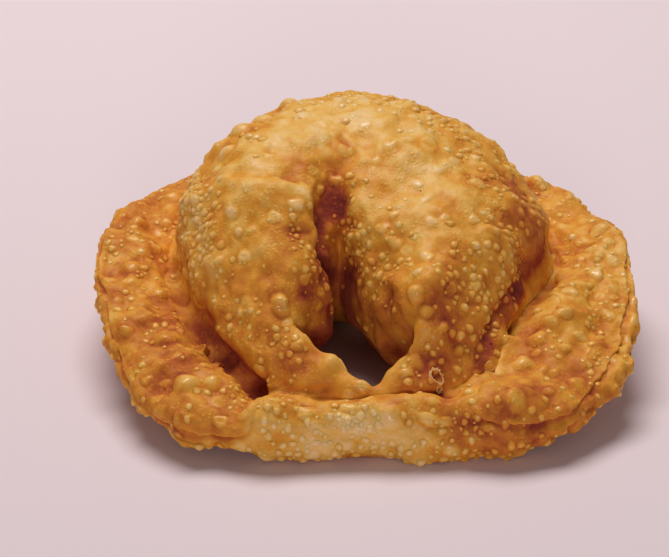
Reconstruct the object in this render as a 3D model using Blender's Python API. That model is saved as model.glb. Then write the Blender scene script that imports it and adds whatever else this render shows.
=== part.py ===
"""A fried empanada, bent until the corners of its half moon meet.

The filled pillow stands up as a dome with a cleft down its front. Its two ends run forward as
tapering legs, which meet and leave a hole between them. The sealed edge lies round the dome like
the brim of a hat, and its ends are pressed together into a thick bar at the front.

The crust is one closed surface: a section carried once round the hole. Two numbers place a point
on it. The turn is the angle round the hole in degrees, 0 at the front and positive to the left.
The station goes once round the section, from the brim's edge over its top, over the dome, down
the wall of the hole, under the belly and back under the brim, as 0 to 1.
X is right, Y is back and Z is up. The origin is on the table under the middle.
"""

import bmesh
import bpy
import numpy as np
from mathutils import Matrix, Vector
from mathutils.bvhtree import BVHTree

MM = 0.001  # every size below is in millimetres
MIDDLE = (-0.93, -3.0)  # of the outline, in the coordinates of the sizes below

# Brim, seen from above. Bumps are (turn, size, width in degrees).
BRIM_CENTRE = (0.0, -3.2)
BRIM_RADII = (56.9, 54.2)
BRIM_SQUARENESS = (3.5, 2.05)  # superellipse power at the front and at the back
BRIM_OUTLINE_BUMPS = ((-116, -3.2, 20), (86, 1.5, 10), (74, -1.5, 5), (55, -2.4, 13), (-3, -1.8, 16), (150, 0.8, 9))
BRIM_THICKNESS = 5.2
BRIM_FRONT_HEIGHT = 5.3  # middle of the edge above the table
BRIM_SIDE_LIFT = 13.5
BRIM_BACK_DROOP = 5.0
BRIM_LIFT_BUMPS = ((-92, 0.8, 13), (96, 1.0, 12), (52, -0.6, 12), (-140, 0.8, 10))
LAYER_GROOVE = 0.9  # depth of the line between the two layers of dough, along the edge

# Bar where the two corners are pressed together
BAR_THICKNESS = 12.4
BAR_ENDS = (-34.0, 30.0)  # turns of its right and left end
BAR_FADES = (13.0, 4.0)  # the right end runs out into the brim, and the left end is a step
BAR_BACK = -47.8

# Crease where the dome rises from the brim
CREASE_CENTRE = (-0.8, -4.5)
CREASE_RADII = (39.4, 45.0)
CREASE_SQUARENESS = (2.05, 2.0)
CREASE_BUMPS = ((-58, -8.0, 24), (62, -3.6, 24))  # it turns in beside both legs
CREASE_HEIGHTS = (6.0, 18.5)  # front and back

# Pillow
DOME_RISE = 25.6  # above the line from the crease to the fold
DOME_REACH = 0.36  # share of the ring over which the legs swell into the dome
LEG_RISE = 1.0
LEG_BUMPS = ((-54, 3.0, 18), (60, 0.6, 20))
BELLY_DEPTHS = (4.0, 19.0)  # front and back
OVERHANG = 2.2  # of the dome over the crease
OVERHANG_BUMPS = ((-62, 2.6, 22),)

# Fold edge, the inner wall of the hole: turn, x, y, z
FOLD = (
    (-180.0, -5.8, -13.0, 17.5),  # bottom of the cleft
    (-150.0, -4.0, -17.5, 17.0),
    (-120.0, -2.2, -22.0, 15.5),
    (-95.0, 1.0, -27.0, 14.5),
    (-70.0, 5.5, -33.0, 16.5),
    (-45.0, 8.8, -38.2, 18.5),  # corner inside the right leg
    (-25.0, 6.0, -42.8, 15.5),
    (-8.0, 0.6, -46.1, 11.0),  # where the legs meet
    (12.0, -6.0, -42.8, 14.8),
    (38.0, -15.0, -36.0, 18.0),  # corner inside the left leg
    (65.0, -12.0, -31.0, 17.0),
    (95.0, -8.4, -26.2, 17.5),
    (125.0, -7.4, -21.0, 17.5),
    (153.0, -7.0, -16.5, 17.5),
)

# Stations where the parts of a section end, and how far its corners are softened
BRIM_TOP_END = 0.16
DOME_END = 0.62
BELLY_END = 0.86
SOFTENING_STEP = 0.0148
SOFTENING = (1, 6, 15, 20, 15, 6, 1)

# Broad swells of the crust: turn, station, height, and both widths
SWELLS = (
    (-62, 0.102, 4.4, 18, 0.034),  # flap of brim beside the right leg
    (-98, 0.070, 1.1, 12, 0.040),
    (57, 0.085, 1.7, 13, 0.035),
    (88, 0.110, 1.2, 10, 0.030),
    (38, 0.090, 1.0, 7, 0.040),
    (150, 0.080, 1.2, 14, 0.040),
    (-150, 0.090, 1.3, 12, 0.040),
    (178, 0.070, 0.9, 10, 0.040),
    (-116, 0.350, -1.8, 30, 0.110),  # the dome slopes more on the right
    (122, 0.370, 0.9, 9, 0.035),
    (95, 0.280, 0.8, 10, 0.045),
    (-140, 0.420, 0.7, 12, 0.040),
)

# Blisters: the largest ones by turn, station and radius, and the rest drawn where they crowd
LARGE_BLISTERS = (
    (54, 0.080, 3.0), (73, 0.090, 2.6), (-38, 0.070, 2.7), (-51, 0.050, 2.2), (99, 0.060, 2.3),
    (-84, 0.080, 2.4), (-108, 0.100, 2.2), (124, 0.290, 2.3), (141, 0.330, 2.5), (-134, 0.330, 2.2),
    (-97, 0.400, 2.0), (64, 0.240, 1.9), (-70, 0.470, 1.9), (158, 0.240, 2.2), (-161, 0.270, 2.4),
)  # fmt: skip
BLISTERS = 74  # drawn ones
BLISTER_RADII = (1.15, 2.1)
BLISTER_FLATNESS = 0.62
BLISTER_SUNK = 0.40  # share of its height below the crust
BLISTER_GAP = 0.9
BLISTER_SIDES = (6, 4)
BLISTER_STATIONS = (0.030, 0.57)
BLISTER_CROWDS = (  # turn, station, both widths, weight
    (-90, 0.300, 26, 0.060, 5.0),  # right side of the right lobe
    (-78, 0.450, 18, 0.040, 4.0),
    (-150, 0.520, 30, 0.050, 3.0),  # cleft
    (120, 0.500, 30, 0.050, 3.0),
    (92, 0.230, 20, 0.050, 4.0),  # left side of the left lobe
    (0, 0.060, 35, 0.040, 2.5),  # bar
    (70, 0.090, 30, 0.040, 2.5),
    (-80, 0.090, 40, 0.040, 2.5),
)
BLISTER_SEED = 12

TURNS = 116  # steps round the hole
SECTION_STEPS = ((0.0, 7, 1.4), (BRIM_TOP_END, 14, 1.0), (DOME_END, 5, 1.0), (BELLY_END, 4, 0.75))
CRUST_COLOUR = (0.60, 0.33, 0.10, 1.0)
CRUST_ROUGHNESS = 0.45


def bell(distance, width):
    return np.exp(-((distance / width) ** 2))


def turn_between(turn, other):
    """The turn from other to turn, between -180 and 180."""
    return (turn - other + 180.0) % 360.0 - 180.0


def bumps(turn, table):
    """The sum of a bell for each (turn, size, width) of the table."""
    return sum(size * bell(turn_between(turn, middle), width) for middle, size, width in table)


def ease(value, start, end):
    """0 before start, 1 after end, smooth between."""
    share = np.clip((value - start) / (end - start), 0.0, 1.0)
    return share * share * (3 - 2 * share)


def smooth_max(a, b, width):
    """The larger of a and b, with the corner between them rounded."""
    share = np.clip(0.5 + 0.5 * (a - b) / width, 0.0, 1.0)
    return b * (1 - share) + a * share + width * share * (1 - share)


def closed_curve(turn, turns, values):
    """A smooth closed curve through the values: cubics whose slopes come from the neighbours."""
    at = np.concatenate([turns[-2:] - 360.0, turns, turns[:2] + 360.0])
    value = np.concatenate([values[-2:], values, values[:2]])
    slope = np.zeros_like(value)
    slope[1:-1] = (value[2:] - value[:-2]) / (at[2:] - at[:-2])
    i = np.clip(np.searchsorted(at, turn, side="right") - 1, 1, len(at) - 3)
    span = at[i + 1] - at[i]
    t = (turn - at[i]) / span
    level = value[i] * (2 * t**3 - 3 * t**2 + 1) + value[i + 1] * (3 * t**2 - 2 * t**3)
    return level + span * (slope[i] * (t**3 - 2 * t**2 + t) + slope[i + 1] * (t**3 - t**2))


def outline(turn, centre, radii, squareness, table):
    """A superellipse seen from above, squarer at the front, with bumps outwards."""
    x, y = -np.sin(np.radians(turn)), -np.cos(np.radians(turn))
    power = squareness[1] + (squareness[0] - squareness[1]) * (1 - y) / 2
    radius = (np.abs(x / radii[0]) ** power + np.abs(y / radii[1]) ** power) ** (-1 / power)
    radius = radius + bumps(turn, table)
    return np.stack([centre[0] + radius * x, centre[1] + radius * y], -1)


def fold_line(turn):
    """The fold edge round the hole."""
    points = np.array(FOLD)
    return np.stack([closed_curve(turn, points[:, 0], points[:, k]) for k in (1, 2, 3)], -1)


def half_brim(share_in, thickness, width):
    """Half the brim's thickness at a share of the way in: round at the edge, thinner at the crease."""
    corner = np.minimum(share_in * width / (thickness / 2), 1.0)
    return thickness / 2 * np.sqrt(1 - (1 - corner) ** 2) * (1 - 0.35 * np.clip(2 * share_in - 1, 0, 1) ** 2)


def hard_section(turn, station):
    """Points of the crust before its corners are softened. Turn and station broadcast together."""
    station = station % 1.0
    back = (1 - np.cos(np.radians(turn))) / 2  # 0 at the front, 1 at the back
    edge = outline(turn, BRIM_CENTRE, BRIM_RADII, BRIM_SQUARENESS, BRIM_OUTLINE_BUMPS)
    crease = outline(turn, CREASE_CENTRE, CREASE_RADII, CREASE_SQUARENESS, CREASE_BUMPS)
    crease[..., 1] = smooth_max(crease[..., 1], BAR_BACK, 1.5)
    fold = fold_line(turn)
    fold, fold_z = fold[..., :2], fold[..., 2]
    crease_z = CREASE_HEIGHTS[0] + (CREASE_HEIGHTS[1] - CREASE_HEIGHTS[0]) * back**0.9
    edge_z = BRIM_FRONT_HEIGHT + BRIM_SIDE_LIFT * (1 - bell(back, 0.36)) + bumps(turn, BRIM_LIFT_BUMPS)
    edge_z = edge_z - BRIM_BACK_DROOP * np.clip(2 * back - 1, 0, 1) ** 1.5
    bar = ease(turn, BAR_ENDS[0] - BAR_FADES[0], BAR_ENDS[0] + BAR_FADES[0])
    bar = bar * (1 - ease(turn, BAR_ENDS[1] - BAR_FADES[1], BAR_ENDS[1] + BAR_FADES[1]))
    brim_thickness = BRIM_THICKNESS + bumps(turn, ((0, 2.2, 62),))
    thickness = brim_thickness + (BAR_THICKNESS - brim_thickness) * bar
    dome_rise = LEG_RISE + (DOME_RISE - LEG_RISE) * (1 - np.exp(-((back / DOME_REACH) ** 1.35)))
    dome_rise = dome_rise + bumps(turn, LEG_BUMPS)
    belly = BELLY_DEPTHS[0] + (BELLY_DEPTHS[1] - BELLY_DEPTHS[0]) * np.sqrt(back)
    brim_width = np.linalg.norm(edge - crease, axis=-1)
    middle, half = (crease + fold) / 2, (crease - fold) / 2
    half_width = np.linalg.norm(half, axis=-1)
    outward = half / half_width[..., None]

    def brim(share, side):
        z = edge_z + (crease_z - edge_z) * share + side * half_brim(share, thickness, brim_width)
        return edge + (crease - edge) * share[..., None], z

    def pillow(angle, side, height, power, swell):
        """Half a superellipse over or under the line from the crease to the fold."""
        c, s = np.cos(angle), np.abs(np.sin(angle))
        reach = half_width * np.sign(c) * np.abs(c) ** (2 / 2.1)
        reach = reach + swell * np.sin(2 * angle) * np.where(c > 0, 1.0, 0.6)
        start_z = crease_z + side * 0.65 * thickness / 2
        z = start_z + (fold_z - start_z) * (1 - c) / 2 + side * height * s ** (2 / power)
        return middle + outward * reach[..., None], z

    station = station + 0 * turn
    over = np.pi * np.clip((station - BRIM_TOP_END) / (DOME_END - BRIM_TOP_END), 0, 1)
    under = np.pi * np.clip((BELLY_END - station) / (BELLY_END - DOME_END), 0, 1)
    swell = np.minimum(OVERHANG, 0.06 * half_width) + bumps(turn, OVERHANG_BUMPS)
    parts = (
        brim(np.clip(station / BRIM_TOP_END, 0, 1), 1),
        pillow(over, 1, dome_rise, 2.05, swell),
        pillow(under, -1, belly, 2.2, 0 * swell),
        brim(np.clip((1 - station) / (1 - BELLY_END), 0, 1), -1),
    )
    inside = (station < BRIM_TOP_END, station < DOME_END, station < BELLY_END)
    xy = np.select([k[..., None] for k in inside], [p[0] for p in parts[:3]], parts[3][0])
    z = np.select(inside, [p[1] for p in parts[:3]], parts[3][1])
    return np.concatenate([xy, z[..., None]], -1)


def soft_section(turn, station):
    """The section averaged over a few nearby stations."""
    reach = len(SOFTENING) // 2
    spread = zip(SOFTENING, range(-reach, reach + 1))
    total = sum(weight * hard_section(turn, station + k * SOFTENING_STEP) for weight, k in spread)
    return total / sum(SOFTENING)


def surface_normal(turn, station):
    """The outward direction, from two small steps on the surface."""
    along = soft_section(turn + 0.5, station) - soft_section(turn - 0.5, station)
    up = soft_section(turn, station + 0.004) - soft_section(turn, station - 0.004)
    normal = np.cross(up, along)
    return normal / np.linalg.norm(normal, axis=-1)[..., None]


def crust(turn, station):
    """Points of the crust with its swells and the groove in its edge, resting flat on the table."""
    from_edge = (station + 0.5) % 1.0 - 0.5
    height = 0 * (turn + station)
    for middle, place, size, turn_width, station_width in SWELLS:
        height = height + size * bell(turn_between(turn, middle), turn_width) * bell(
            from_edge - place, station_width
        )
    groove = LAYER_GROOVE * ease(np.abs(turn), 30, 50) * bell(from_edge, 0.006)
    points = soft_section(turn, station) + surface_normal(turn, station) * (height - groove)[..., None]
    points[..., 2] = np.maximum(points[..., 2], 0.0)
    points[..., :2] -= MIDDLE
    return points


def section_stations():
    """Stations of the mesh, closer together at the brim's edge."""
    ends = [step[0] for step in SECTION_STEPS[1:]] + [1.0]
    rows = [
        start + (end - start) * (np.arange(count) / count) ** crowding
        for (start, count, crowding), end in zip(SECTION_STEPS, ends)
    ]
    return np.concatenate(rows)


def grid_faces(rows, columns):
    """Quads of a grid that closes both ways, facing out."""
    i, j = np.meshgrid(np.arange(rows), np.arange(columns), indexing="ij")
    next_i, next_j = (i + 1) % rows, (j + 1) % columns
    corners = (i * columns + j, i * columns + next_j, next_i * columns + next_j, next_i * columns + j)
    return np.stack([corner.ravel() for corner in corners], -1)


def crust_object(name):
    """The whole crust as one mesh object, without blisters."""
    turns = -180.0 + 360.0 * np.arange(TURNS) / TURNS
    stations = section_stations()
    points = crust(turns[:, None], stations[None, :])
    mesh = bpy.data.meshes.new(name)
    mesh.from_pydata((points.reshape(-1, 3) * MM).tolist(), [], grid_faces(TURNS, len(stations)).tolist())
    made = bpy.data.objects.new(name, mesh)
    bpy.context.scene.collection.objects.link(made)
    return made


def drawn_blisters():
    """Centre and radius of every blister: the large ones, then drawn ones that keep clear."""
    draw = np.random.default_rng(BLISTER_SEED)
    turn = draw.uniform(-180, 180, 6000)
    station = draw.uniform(*BLISTER_STATIONS, 6000)
    low, high = BLISTER_RADII
    radius = low + (high - low) * draw.random(6000) ** 2.0
    crowding = 1.0 + sum(
        weight * bell(turn_between(turn, at), turn_width) * bell(station - place, station_width)
        for at, place, turn_width, station_width, weight in BLISTER_CROWDS
    )
    kept = draw.random(6000) * 6.0 < crowding
    large = np.array(LARGE_BLISTERS)
    turn = np.concatenate([large[:, 0], turn[kept]])
    station = np.concatenate([large[:, 1], station[kept]])
    radius = np.concatenate([large[:, 2], radius[kept]])
    centre = crust(turn, station)
    found = []
    for k in range(len(turn)):
        gaps = [np.linalg.norm(centre[k] - centre[other]) - radius[k] - radius[other] for other in found]
        if min(gaps, default=BLISTER_GAP) >= BLISTER_GAP or k < len(large):
            found.append(k)
        if len(found) == BLISTERS + len(large):
            break
    return centre[found], radius[found]


def fuse_blisters(target):
    """Joins a flattened ball to the target's nearest face at each blister, with one Boolean union."""
    faces = BVHTree.FromPolygons(
        [vertex.co.copy() for vertex in target.data.vertices],
        [list(polygon.vertices) for polygon in target.data.polygons],
    )
    balls = bpy.data.collections.new("blisters")
    bpy.context.scene.collection.children.link(balls)
    for centre, radius in zip(*drawn_blisters()):
        foot, direction, _, _ = faces.find_nearest(Vector(centre) * MM)
        middle = foot + direction * radius * MM * BLISTER_FLATNESS * (1 - 2 * BLISTER_SUNK)
        place = Matrix.Translation(middle) @ direction.to_track_quat("Z", "Y").to_matrix().to_4x4()
        place = place @ Matrix.Diagonal((1.0, 1.0, BLISTER_FLATNESS, 1.0))
        bm = bmesh.new()
        bmesh.ops.create_uvsphere(
            bm, u_segments=BLISTER_SIDES[0], v_segments=BLISTER_SIDES[1], radius=radius * MM, matrix=place
        )
        mesh = bpy.data.meshes.new("blister")
        bm.to_mesh(mesh)
        bm.free()
        balls.objects.link(bpy.data.objects.new("blister", mesh))
    union = target.modifiers.new("blisters", "BOOLEAN")
    union.operation = "UNION"
    union.operand_type = "COLLECTION"
    union.collection = balls
    union.solver = "EXACT"
    bpy.context.view_layer.objects.active = target
    bpy.ops.object.modifier_apply(modifier=union.name)
    for ball in list(balls.objects):
        bpy.data.objects.remove(ball)
    bpy.data.collections.remove(balls)


def finish(made, colour, roughness):
    """Gives the object its material, and smooth shading up to its sharp edges."""
    dough = bpy.data.materials.new("fried_dough")
    dough.use_nodes = True
    shader = dough.node_tree.nodes["Principled BSDF"]
    shader.inputs["Base Color"].default_value = colour
    shader.inputs["Roughness"].default_value = roughness
    made.data.materials.clear()
    made.data.materials.append(dough)
    made.data.shade_smooth()
    made.data.set_sharp_from_angle(angle=np.radians(50.0))


def main():
    for old in list(bpy.data.objects):
        bpy.data.objects.remove(old)
    empanada = crust_object("empanada_crust")
    fuse_blisters(empanada)
    finish(empanada, CRUST_COLOUR, CRUST_ROUGHNESS)


main()
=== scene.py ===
import bpy
import numpy as np
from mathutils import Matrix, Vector


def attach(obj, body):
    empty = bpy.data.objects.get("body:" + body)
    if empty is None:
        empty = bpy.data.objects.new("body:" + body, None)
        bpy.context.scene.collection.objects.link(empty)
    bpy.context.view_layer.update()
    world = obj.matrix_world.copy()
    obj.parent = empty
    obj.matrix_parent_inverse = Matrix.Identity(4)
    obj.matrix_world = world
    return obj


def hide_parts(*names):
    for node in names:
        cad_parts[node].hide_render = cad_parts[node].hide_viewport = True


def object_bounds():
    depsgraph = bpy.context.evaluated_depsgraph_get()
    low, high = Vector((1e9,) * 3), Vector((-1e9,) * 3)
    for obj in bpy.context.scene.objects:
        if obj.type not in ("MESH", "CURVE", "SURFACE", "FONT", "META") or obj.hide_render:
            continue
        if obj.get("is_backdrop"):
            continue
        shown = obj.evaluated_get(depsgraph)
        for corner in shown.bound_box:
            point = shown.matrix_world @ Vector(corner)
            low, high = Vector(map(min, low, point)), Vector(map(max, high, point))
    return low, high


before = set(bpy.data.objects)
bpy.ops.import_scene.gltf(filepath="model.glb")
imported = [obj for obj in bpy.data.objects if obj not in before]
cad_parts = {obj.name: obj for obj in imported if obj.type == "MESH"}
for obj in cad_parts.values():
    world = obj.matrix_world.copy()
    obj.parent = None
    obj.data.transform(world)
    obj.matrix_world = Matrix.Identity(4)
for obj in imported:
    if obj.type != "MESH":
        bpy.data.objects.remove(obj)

cadLow, cadHigh = (np.array(corner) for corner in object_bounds())  # the CAD box, before anything is dressed
mm = 0.001  # all shapes below are worked out in millimetres
low, high = cadLow / mm + 0.02, cadHigh / mm - 0.02  # the dressed part stays inside these
draw = np.random.default_rng(7)  # every random draw comes from here, in this order


def bell(distance, width):
    return np.exp(-((distance / width) ** 2))  # 1 in the middle, near 0 two widths away


def ease(value, start, end):
    share = np.clip((value - start) / (end - start), 0.0, 1.0)  # 0 before start, 1 after end
    return share * share * (3 - 2 * share)


def turnBetween(turn, other):
    return (turn - other + 180.0) % 360.0 - 180.0  # the shorter way round, -180 to 180 degrees


def bumps(turn, table):
    # The sum of the table's bells round the hole: middle, size, width.
    return sum(size * bell(turnBetween(turn, middle), width) for middle, size, width in table)


def smoothMax(a, b, width):
    # The larger of the two, its corner rounded by a parabola over the width.
    share = np.clip(0.5 + 0.5 * (a - b) / width, 0.0, 1.0)
    return b * (1 - share) + a * share + width * share * (1 - share)


def waves(points, size, seed, count=48):
    # Smooth noise: the sum of many plane waves of about one wavelength, in all directions, scaled so that it
    # spreads by about 1 to either side of 0.
    own = np.random.default_rng(seed)
    direction = own.normal(size=(3, count))
    direction /= np.linalg.norm(direction, axis=0)
    direction *= 2 * np.pi / (size * own.uniform(0.75, 1.5, count))
    phase = own.uniform(0, 2 * np.pi, count)
    flat = points.reshape(-1, 3)
    total = np.sin(flat @ direction + phase).sum(axis=1) / np.sqrt(count / 2)
    return total.reshape(points.shape[:-1])


def meshObject(name, points, faces, values, smooth=True):
    # points in mm, faces as lists of corners, values as one number per point for each attribute
    mesh = bpy.data.meshes.new(name)
    mesh.from_pydata((points * mm).tolist(), [], faces)
    for key, numbers in values.items():
        layer = mesh.attributes.new(key, "FLOAT", "POINT")
        layer.data.foreach_set("value", np.ascontiguousarray(numbers, np.float32))
    if smooth:
        mesh.shade_smooth()
    made = bpy.data.objects.new(name, mesh)
    bpy.context.scene.collection.objects.link(made)
    return made


# turn: angle round the hole, 0 at the front and positive to the left.
# station: once round the section, brim edge 0, crease .16, hole .62, belly .62 to .86, brim underside to 1.

dough = {
    "middle": (-0.93, -3.0),
    "brimCentre": (0.0, -3.2), "brimRadii": (56.9, 54.2), "brimPower": (3.5, 2.05),
    "brimOutline": ((-116, -3.2, 20), (86, 1.5, 10), (74, -1.5, 5), (55, -2.4, 13), (-3, -1.8, 16),
                    (150, 0.8, 9)),
    "brimThickness": 5.2, "frontThicker": ((0, 2.2, 62),), "brimTaper": 0.35,  # thinner at the crease
    "brimFrontHeight": 5.3, "brimSideLift": 13.5, "brimSideReach": 0.36, "brimBackDroop": 5.0,
    "brimLifts": ((-92, 0.8, 13), (96, 1.0, 12), (52, -0.6, 12), (-140, 0.8, 10)),
    "barThickness": 12.4, "barEnds": (-34.0, 24.0), "barFades": (13.0, 2.4),
    "barBack": -47.8, "barSoftness": 1.5,
    "creaseCentre": (-0.8, -4.5), "creaseRadii": (39.4, 45.0), "creasePower": (2.05, 2.0),
    "creaseOutline": ((-58, -8.0, 24), (62, -3.6, 24)), "creaseHeights": (6.0, 18.5), "creaseCurve": 0.9,
    "domeRise": 25.6, "domeReach": 0.36, "domeCurve": 1.35, "domeRoundness": 2.05,
    "legRise": 1.0, "legs": ((-54, 3.0, 18), (60, 0.6, 20)),
    "bellyDepths": (4.0, 19.0), "bellyRoundness": 2.2, "pillowRoundness": 2.1,
    "overhang": 2.2, "overhangShare": 0.06, "overhangs": ((-62, 2.6, 22),), "innerOverhang": 0.6,
    "fold": (  # turn, x, y, z along the wall of the hole
        (-180, -5.8, -13.0, 17.5), (-150, -4.0, -17.5, 17.0), (-120, -2.2, -22.0, 15.5),
        (-95, 1.0, -27.0, 14.5), (-70, 5.5, -33.0, 16.5), (-45, 8.8, -38.2, 18.5),
        (-25, 6.0, -42.8, 15.5), (-8, 0.6, -46.1, 11.0), (12, -6.0, -42.8, 14.8),
        (38, -15.0, -36.0, 18.0), (65, -12.0, -31.0, 17.0), (95, -8.4, -26.2, 17.5),
        (125, -7.4, -21.0, 17.5), (153, -7.0, -16.5, 17.5),
    ),
    "ends": (0.16, 0.62, 0.86), "softStep": 0.0148, "softWeights": (1, 6, 15, 20, 15, 6, 1),
    "swells": (  # turn, station, height, both widths
        (-62, 0.102, 4.4, 18, 0.034), (-98, 0.070, 1.1, 12, 0.040), (57, 0.085, 1.7, 13, 0.035),
        (88, 0.110, 1.2, 10, 0.030), (38, 0.090, 1.0, 7, 0.040), (150, 0.080, 1.2, 14, 0.040),
        (-150, 0.090, 1.3, 12, 0.040), (178, 0.070, 0.9, 10, 0.040), (-116, 0.350, -1.8, 30, 0.110),
        (122, 0.370, 0.9, 9, 0.035), (95, 0.280, 0.8, 10, 0.045), (-140, 0.420, 0.7, 12, 0.040),
    ),
    "turns": 400,
    "rows": ((0.0, 46, 1.25), (0.16, 138, 1.0), (0.62, 24, 1.0), (0.86, 40, 0.7)),  # start, steps, crowding
}


def closedCurve(turn, turns, values):
    # A closed curve through the values: cubics whose slope at each one comes from its two neighbours.
    at = np.concatenate([turns[-2:] - 360.0, turns, turns[:2] + 360.0])
    value = np.concatenate([values[-2:], values, values[:2]])
    slope = np.zeros_like(value)
    slope[1:-1] = (value[2:] - value[:-2]) / (at[2:] - at[:-2])
    i = np.clip(np.searchsorted(at, turn, side="right") - 1, 1, len(at) - 3)
    span = at[i + 1] - at[i]
    t = (turn - at[i]) / span
    level = value[i] * (2 * t**3 - 3 * t**2 + 1) + value[i + 1] * (3 * t**2 - 2 * t**3)
    return level + span * (slope[i] * (t**3 - 2 * t**2 + t) + slope[i + 1] * (t**3 - t**2))


def outline(turn, centre, radii, power, table):
    # A superellipse seen from above, one power at the front and another at the back, with bumps outwards.
    x, y = -np.sin(np.radians(turn)), -np.cos(np.radians(turn))
    n = power[1] + (power[0] - power[1]) * (1 - y) / 2
    radius = (np.abs(x / radii[0]) ** n + np.abs(y / radii[1]) ** n) ** (-1 / n) + bumps(turn, table)
    return np.stack([centre[0] + radius * x, centre[1] + radius * y], -1)


def ringOf(turn):
    # All that depends on the turn alone: edge, crease and fold seen from above, their heights, and the
    # thicknesses. Heights blend from front to back by powers and bells of the share of the way back.
    d = dough
    back = (1 - np.cos(np.radians(turn))) / 2  # 0 at the front, 1 at the back
    edge = outline(turn, d["brimCentre"], d["brimRadii"], d["brimPower"], d["brimOutline"])
    crease = outline(turn, d["creaseCentre"], d["creaseRadii"], d["creasePower"], d["creaseOutline"])
    crease[..., 1] = smoothMax(crease[..., 1], d["barBack"], d["barSoftness"])
    table = np.array(d["fold"], float)
    fold = np.stack([closedCurve(turn, table[:, 0], table[:, k]) for k in (1, 2, 3)], -1)
    front, behind = d["creaseHeights"]
    creaseZ = front + (behind - front) * back ** d["creaseCurve"]
    edgeZ = d["brimFrontHeight"] + d["brimSideLift"] * (1 - bell(back, d["brimSideReach"]))
    edgeZ = edgeZ + bumps(turn, d["brimLifts"])
    edgeZ = edgeZ - d["brimBackDroop"] * np.clip(2 * back - 1, 0, 1) ** 1.5
    (right, left), (rightFade, leftFade) = d["barEnds"], d["barFades"]
    bar = ease(turn, right - rightFade, right + rightFade)
    bar = bar * (1 - ease(turn, left - leftFade, left + leftFade))
    plain = d["brimThickness"] + bumps(turn, d["frontThicker"])
    thick = plain + (d["barThickness"] - plain) * bar
    dome = 1 - np.exp(-((back / d["domeReach"]) ** d["domeCurve"]))
    rise = d["legRise"] + (d["domeRise"] - d["legRise"]) * dome + bumps(turn, d["legs"])
    belly = d["bellyDepths"][0] + (d["bellyDepths"][1] - d["bellyDepths"][0]) * np.sqrt(back)
    middle, half = (crease + fold[..., :2]) / 2, (crease - fold[..., :2]) / 2
    halfWidth = np.linalg.norm(half, axis=-1)
    over = np.minimum(d["overhang"], d["overhangShare"] * halfWidth) + bumps(turn, d["overhangs"])
    return {
        "edge": edge, "crease": crease, "foldZ": fold[..., 2], "creaseZ": creaseZ, "edgeZ": edgeZ,
        "thick": thick, "rise": rise, "belly": belly, "middle": middle, "halfWidth": halfWidth,
        "outward": half / halfWidth[..., None], "over": over,
        "brimWidth": np.linalg.norm(edge - crease, axis=-1),
    }


def hardSection(r, station):
    # Brim: a strip from edge to crease with a round edge. Dome and belly: half superellipses over and under
    # the line from crease to fold, the dome leaning out over the crease.
    d = dough
    first, second, third = d["ends"]
    station = station % 1.0 + 0 * r["thick"]

    def brim(share, side):
        corner = np.minimum(share * r["brimWidth"] / (r["thick"] / 2), 1.0)
        half = r["thick"] / 2 * np.sqrt(1 - (1 - corner) ** 2)
        half = half * (1 - d["brimTaper"] * np.clip(2 * share - 1, 0, 1) ** 2)
        z = r["edgeZ"] + (r["creaseZ"] - r["edgeZ"]) * share + side * half
        return r["edge"] + (r["crease"] - r["edge"]) * share[..., None], z

    def pillow(angle, side, height, power, over):
        c, s = np.cos(angle), np.abs(np.sin(angle))
        reach = r["halfWidth"] * np.sign(c) * np.abs(c) ** (2 / d["pillowRoundness"])
        reach = reach + over * np.sin(2 * angle) * np.where(c > 0, 1.0, d["innerOverhang"])
        startZ = r["creaseZ"] + side * (1 - d["brimTaper"]) * r["thick"] / 2
        z = startZ + (r["foldZ"] - startZ) * (1 - c) / 2 + side * height * s ** (2 / power)
        return r["middle"] + r["outward"] * reach[..., None], z

    def way(start, end):
        return np.clip((station - start) / (end - start), 0, 1)

    parts = (
        brim(way(0, first), 1),
        pillow(np.pi * way(first, second), 1, r["rise"], d["domeRoundness"], r["over"]),
        pillow(np.pi * way(third, second), -1, r["belly"], d["bellyRoundness"], 0 * r["over"]),
        brim(way(1, third), -1),
    )
    inside = (station < first, station < second, station < third)
    xy = np.select([k[..., None] for k in inside], [p[0] for p in parts[:3]], parts[3][0])
    z = np.select(inside, [p[1] for p in parts[:3]], parts[3][1])
    return np.concatenate([xy, z[..., None]], -1)


def normalsOf(points):
    # Outward directions on a grid that closes both ways, from the steps between neighbours.
    along = np.roll(points, -1, 0) - np.roll(points, 1, 0)
    up = np.roll(points, -1, 1) - np.roll(points, 1, 1)
    normal = np.cross(up, along)
    return normal / np.maximum(np.linalg.norm(normal, axis=-1), 1e-9)[..., None]


def stationRows():
    # The stations of the grid's rows: each stretch in even steps, crowded towards its start by a power.
    ends = [row[0] for row in dough["rows"][1:]] + [1.0]
    rows = [
        start + (end - start) * (np.arange(count) / count) ** crowding
        for (start, count, crowding), end in zip(dough["rows"], ends)
    ]
    return np.concatenate(rows)


def foldedDough(turn, station):
    # The section, averaged over nearby stations to soften its corners, then moved out by the broad swells.
    ring = ringOf(turn)
    weights = dough["softWeights"]
    reach = len(weights) // 2
    steps = dough["softStep"] * np.arange(-reach, reach + 1)
    points = sum(w * hardSection(ring, station + step) for w, step in zip(weights, steps)) / sum(weights)
    fromEdge = (station + 0.5) % 1.0 - 0.5
    height = sum(
        size * bell(turnBetween(turn, middle), turnWidth) * bell(fromEdge - place, stationWidth)
        for middle, place, size, turnWidth, stationWidth in dough["swells"]
    )
    points = points + normalsOf(points) * height[..., None]
    points[..., :2] -= dough["middle"]
    return points


print("empanada: folding the dough")
turn = (-180.0 + 360.0 * np.arange(dough["turns"]) / dough["turns"])[:, None]
station = stationRows()[None, :]
base = foldedDough(turn, station)
baseNormal = normalsOf(base)
rows, columns = base.shape[:2]


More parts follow.
